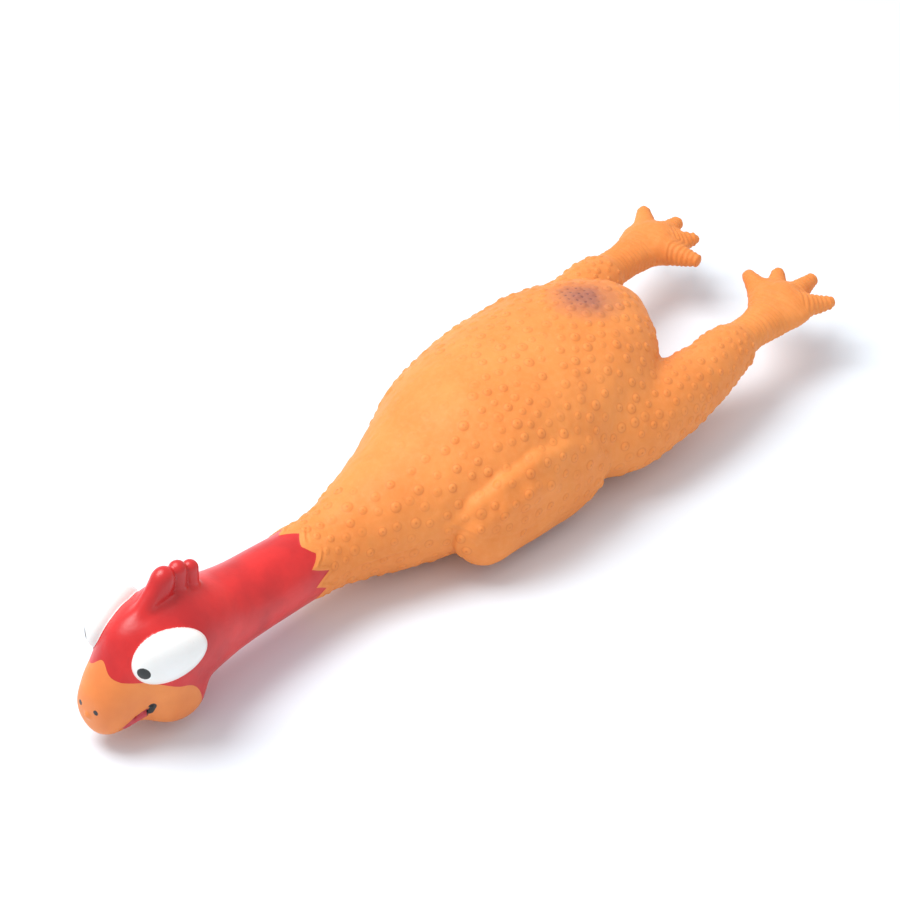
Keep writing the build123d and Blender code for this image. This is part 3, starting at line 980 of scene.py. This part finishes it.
# Painted shade in a ring about a nub, where it meets the skin: distance from its centre, in millimetres for a nub of
# size 1, and strength.
NUB_HALO_SHADE = ((0, 0), (1.5, 0), (2.0, 1), (2.5, 0), (3, 0))

# The blotch on the rump, in metres: its centre, and how much each direction counts.
BLOTCH_CENTRE, BLOTCH_STRETCH = (-0.003, 0.069, 0.066), (1.0, 1.0, 0.7)


def bare_latex():
    """Matte orange latex: mottled, with painted shade in the middle of each nub and in a ring around it, and a purple
    blotch on the rump.
    """
    n = Nodes("orange_latex_look")
    place = n.place()
    marks = n.add("ShaderNodeAttribute", attribute_name="marks").outputs["Vector"]
    away, strength, pit = n.add("ShaderNodeSeparateXYZ", {"Vector": marks}).outputs
    # Painted shade: a darker ring round the foot of each nub, and a darker spot at its middle where a dimple's shade
    # would fall.
    halo_shade = n.math("MULTIPLY", n.profile(away, NUB_HALO_SHADE), strength)
    dimple_shade = n.math("MULTIPLY", n.ramp(away, 0.75, 0.2), strength)
    base = n.mix(n.ramp(n.noise(place, 38, 3), 0.35, 0.65), colour(239, 148, 75), colour(233, 138, 66))
    dust = n.math("MULTIPLY", n.ramp(n.noise(place, 420, 3), 0.45, 0.75), 0.25)
    base = n.mix(dust, base, colour(246, 162, 98))
    # The nubs' painted shade is mixed in: first the ring, then the darker middle.
    base = n.mix(n.math("MULTIPLY", halo_shade, 0.3), base, colour(198, 104, 50))
    base = n.mix(n.math("MULTIPLY", dimple_shade, 0.45), base, colour(188, 92, 44))
    offset = n.vector_math("SUBTRACT", place, BLOTCH_CENTRE).outputs[0]
    offset = n.vector_math("MULTIPLY", offset, BLOTCH_STRETCH).outputs[0]
    far = n.vector_math("LENGTH", offset).outputs["Value"]
    ragged = n.math("MULTIPLY", n.math("SUBTRACT", n.noise(place, 160, 3), 0.5), 0.009)
    far = n.math("ADD", far, ragged)
    blotch = n.math("MULTIPLY", n.ramp(far, 0.019, 0.004), 0.68)
    base = n.mix(blotch, base, colour(128, 84, 92))
    pits = n.math("MULTIPLY", n.ramp(pit, -0.12, -0.4), n.ramp(far, 0.024, 0.014))
    base = n.mix(n.math("MULTIPLY", pits, 0.8), base, colour(84, 52, 62))
    grain = n.math("ADD", n.noise(place, 1500, 3), n.math("MULTIPLY", n.noise(place, 300, 2), 1.5))
    roughness = n.math("ADD", n.math("MULTIPLY", n.noise(place, 90, 2), 0.16), 0.5)
    return n.finish(Base_Color=base, Roughness=roughness, Normal=n.bump(grain, 0.00012, 0.6),
                    Specular_IOR_Level=0.3, Subsurface_Weight=0.12, Subsurface_Radius=(0.004, 0.002, 0.001),
                    Subsurface_Scale=1.0)


def painted_latex(name, light, dark, roughness):
    """Satin paint over latex, a little uneven in colour and gloss."""
    n = Nodes(name)
    place = n.place()
    base = n.mix(n.ramp(n.noise(place, 55, 3), 0.35, 0.65), light, dark)
    base = n.mix(n.math("MULTIPLY", n.ramp(n.noise(place, 700, 2), 0.55, 0.8), 0.15), base, dark)
    gloss = n.math("ADD", n.math("MULTIPLY", n.noise(place, 130, 3), 0.14), roughness - 0.07)
    grain = n.math("ADD", n.noise(place, 900, 3), n.math("MULTIPLY", n.noise(place, 160, 2), 3.0))
    return n.finish(Base_Color=base, Roughness=gloss, Normal=n.bump(grain, 0.00009, 0.5),
                    Specular_IOR_Level=0.55, Subsurface_Weight=0.06, Subsurface_Radius=(0.003, 0.001, 0.001),
                    Subsurface_Scale=1.0)


def fibre():
    """Matted polyester fibre."""
    n = Nodes("fibre_look")
    place = n.add("ShaderNodeTexCoord").outputs["Object"]
    swirl = n.add("ShaderNodeTexWave", {"Vector": place, "Scale": 260, "Distortion": 18, "Detail": 4,
                                        "Detail Scale": 1.5}).outputs["Fac"]
    base = n.mix(swirl, colour(226, 225, 220), colour(247, 247, 244))
    return n.finish(Base_Color=base, Roughness=0.95, Normal=n.bump(swirl, 0.0006), Sheen_Weight=0.5)


def plastic(name, light, dark, roughness, alpha=1.0):
    """Moulded plastic with faint flow marks and fine scuffs."""
    n = Nodes(name)
    place = n.add("ShaderNodeTexCoord").outputs["Object"]
    base = n.mix(n.noise(place, 220, 3), light, dark)
    scuffs = n.ramp(n.noise(place, 2200, 2), 0.5, 0.8)
    gloss = n.math("ADD", n.math("MULTIPLY", scuffs, 0.2), roughness)
    ripple = n.bump(n.noise(place, 1200), 0.00002)
    return n.finish(Base_Color=base, Roughness=gloss, Alpha=alpha, Normal=ripple)


def paper_floor():
    """The plain pale floor."""
    n = Nodes("floor_look")
    place = n.add("ShaderNodeTexCoord").outputs["Object"]
    base = n.mix(n.noise(place, 6, 2), colour(232, 240, 247), colour(237, 244, 250))
    return n.finish(Base_Color=base, Roughness=0.9, Specular_IOR_Level=0.1)


LATEX = bare_latex()
RED = painted_latex("red_paint_look", colour(221, 38, 36), colour(193, 28, 30), 0.34)
BEAK = painted_latex("beak_paint_look", colour(238, 140, 66), colour(226, 126, 58), 0.48)
WHITE = painted_latex("eye_white_look", colour(246, 245, 242), colour(240, 238, 233), 0.3)
BLACK = painted_latex("black_paint_look", colour(26, 26, 27), colour(18, 18, 20), 0.32)
TONGUE_RED = painted_latex("tongue_paint_look", colour(205, 62, 68), colour(180, 46, 56), 0.4)


# ---- pieces --------------------------------------------------------------------------------------------

def at(point):
    """A point in metres."""
    return tuple(np.array(point, float) * MM)


def along_y(start, end):
    """Start and end of a blend that runs along Y."""
    return {"start": at((0, start, 0)), "end": at((0, end, 0))}


def dress_skin():
    """Makes every piece of the skin, and ties it to its bodies, its CAD nodes and its material slot."""
    mesh, triangles, sides, left = cut_skin()
    labels = piece_labels(sides, left)

    def piece(name, slot, nodes, *materials, second=None):
        made = skin_piece(name, mesh, triangles, labels == name, materials, second)
        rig.slot(made, slot)
        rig.replaces(made, *nodes)
        return made

    for end in ("front", "rear"):
        torso = piece(f"{end}_torso_latex", "orange_latex", ("torso_skin", "back_press_panel"), LATEX)
        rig.blend(torso, "torso", "back_panel", start=at((0, 0, 46)), end=at((0, 0, 70)))
    for section, before, bend in (("lower", "torso", (-82, -106)), ("upper", "lower_neck", (-109, -133))):
        neck = piece(f"{section}_neck_latex", "red_painted_latex", (f"{section}_neck_skin",), LATEX, RED,
                     second=sides["red"])
        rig.blend(neck, before, f"{section}_neck", **along_y(*bend))
    head = piece("head_latex", "red_painted_latex", ("head_skin",), RED)
    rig.blend(head, "upper_neck", "head", **along_y(-136, -160))
    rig.ride(piece("beak_latex", "beak_paint", ("beak_skin",), BEAK), "head")
    for side in ("left", "right"):
        for name, slot, node, material in (("eye_dome", "eye_white", "eye", WHITE),
                                           ("pupil_paint", "black_paint", "pupil", BLACK),
                                           ("nostril_paint", "black_paint", "nostril", BLACK),
                                           ("mouth_corner_paint", "black_paint", "mouth_corner", BLACK),
                                           ("tongue_paint", "tongue_paint", "tongue_edge", TONGUE_RED)):
            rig.ride(piece(f"{side}_{name}", slot, (f"{side}_{node}",), material), "head")
        leg = piece(f"{side}_leg_latex", "orange_latex", (f"{side}_leg_skin",), LATEX)
        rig.blend(leg, "torso", f"{side}_leg", **along_y(100, 116))
        foot = piece(f"{side}_foot_latex", "orange_latex", (f"{side}_foot",), LATEX)
        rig.blend(foot, f"{side}_leg", f"{side}_foot", **along_y(133, 147))


FIBRE_VOXEL = 1.6


def fibre_wad(node, name):
    """Loose fibre in the space of a CAD solid: its mesh evened out, then pulled in unevenly."""
    data = frame["nodes"][node].data.copy()
    data.name = name
    wad = bpy.data.objects.new(name, data)
    bpy.context.scene.collection.objects.link(wad)
    remesh = wad.modifiers.new("remesh", "REMESH")
    remesh.mode = "VOXEL"
    remesh.voxel_size = FIBRE_VOXEL * MM
    evened = bpy.data.meshes.new_from_object(wad.evaluated_get(bpy.context.evaluated_depsgraph_get()))
    wad.modifiers.clear()
    wad.data = evened
    points = np.array([v.co for v in evened.vertices]) / MM
    out = np.array([v.normal for v in evened.vertices])
    pull = np.clip(1.1 + 0.7 * wobble(points, 13, 21) + 0.35 * wobble(points, 5, 22), 0.1, 3)
    evened.vertices.foreach_set("co", ((points - out * pull[:, None]) * MM).ravel())
    evened.polygons.foreach_set("use_smooth", np.ones(len(evened.polygons), bool))
    evened.materials.clear()
    evened.materials.append(FIBRE)
    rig.slot(wad, "fibre_filling")
    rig.replaces(wad, node)
    return wad


def dress_inside():
    """Makes the fibre wads, and gives the squeaker's CAD nodes their plastics."""
    body_wad = fibre_wad("body_stuffing", "body_fibre")
    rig.squash(body_wad, "back_squeeze", axis=(0, 0, 1), anchor=(0, 0, 0.006), keep=0.7)
    body_wad.parent = None
    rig.ride(body_wad, "torso")
    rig.ride(fibre_wad("head_stuffing", "head_fibre"), "head")
    white = plastic("squeaker_plastic_look", colour(238, 238, 232), colour(228, 228, 222), 0.28)
    grey = plastic("reed_holder_look", colour(206, 212, 218), colour(194, 200, 208), 0.3)
    film = plastic("reed_film_look", colour(222, 228, 238), colour(206, 214, 228), 0.12, alpha=0.85)
    for node, material in (("squeaker_case", white), ("squeaker_cap", white), ("reed_holder", grey),
                           ("reed_clamp", grey), ("squeaker_reed", film)):
        data = frame["nodes"][node].data
        data.materials.clear()
        data.materials.append(material)


FIBRE = fibre()
dress_skin()
dress_inside()


# ---- floor, light and camera ---------------------------------------------------------------------------

FLOOR_HALF, FLOOR_DROP = 9000, 0.2


def add_floor():
    """A flat floor, just under the toy."""
    corners = np.array([(-1, -1, 0), (1, -1, 0), (1, 1, 0), (-1, 1, 0)])
    floor = link_mesh("floor", corners * FLOOR_HALF - (0, 0, FLOOR_DROP), np.array([(0, 1, 2, 3)]))
    floor.data.materials.append(paper_floor())
    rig.stage(floor)


def add_softbox(name, place, size, power):
    """A square soft light that faces the toy."""
    light = bpy.data.lights.new(name, "AREA")
    light.size = size
    light.energy = power
    lamp = bpy.data.objects.new(name, light)
    lamp.location = place
    lamp.rotation_euler = (Vector((0, 0, 0.03)) - Vector(place)).to_track_quat("-Z", "Y").to_euler()
    bpy.context.scene.collection.objects.link(lamp)


def add_world(strength):
    """Even, slightly cool light from all around."""
    world = bpy.data.worlds.new("studio")
    world.use_nodes = True
    background = world.node_tree.nodes["Background"]
    background.inputs["Color"].default_value = (0.96, 0.97, 1, 1)
    background.inputs["Strength"].default_value = strength
    bpy.context.scene.world = world


def add_camera(azimuth, elevation, distance, target, lens, shift):
    """A camera that looks at a target from a distance, round from the head end and above the floor."""
    a, e = math.radians(azimuth), math.radians(elevation)
    back = Vector((math.sin(a) * math.cos(e), -math.cos(a) * math.cos(e), math.sin(e)))
    data = bpy.data.cameras.new("camera")
    data.lens = lens
    data.shift_x, data.shift_y = shift
    camera = bpy.data.objects.new("camera", data)
    camera.location = Vector(target) + back * distance
    camera.rotation_euler = (-back).to_track_quat("-Z", "Y").to_euler()
    bpy.context.scene.collection.objects.link(camera)
    bpy.context.scene.camera = camera


add_floor()
add_world(0.76)
add_softbox("key", (-0.45, -0.35, 1.1), 0.75, 13.2)
add_camera(43.6, 38.3, 1.3, (0, 0, 0.03), 123.4, (-0.032, -0.011))
bpy.context.scene.view_settings.view_transform = "Standard"

seen_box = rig.bounds()
with open("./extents.json", "w") as size_file:
    json.dump({"cad": [list(corner) for corner in cad_box], "visual": [list(corner) for corner in seen_box]},
              size_file)
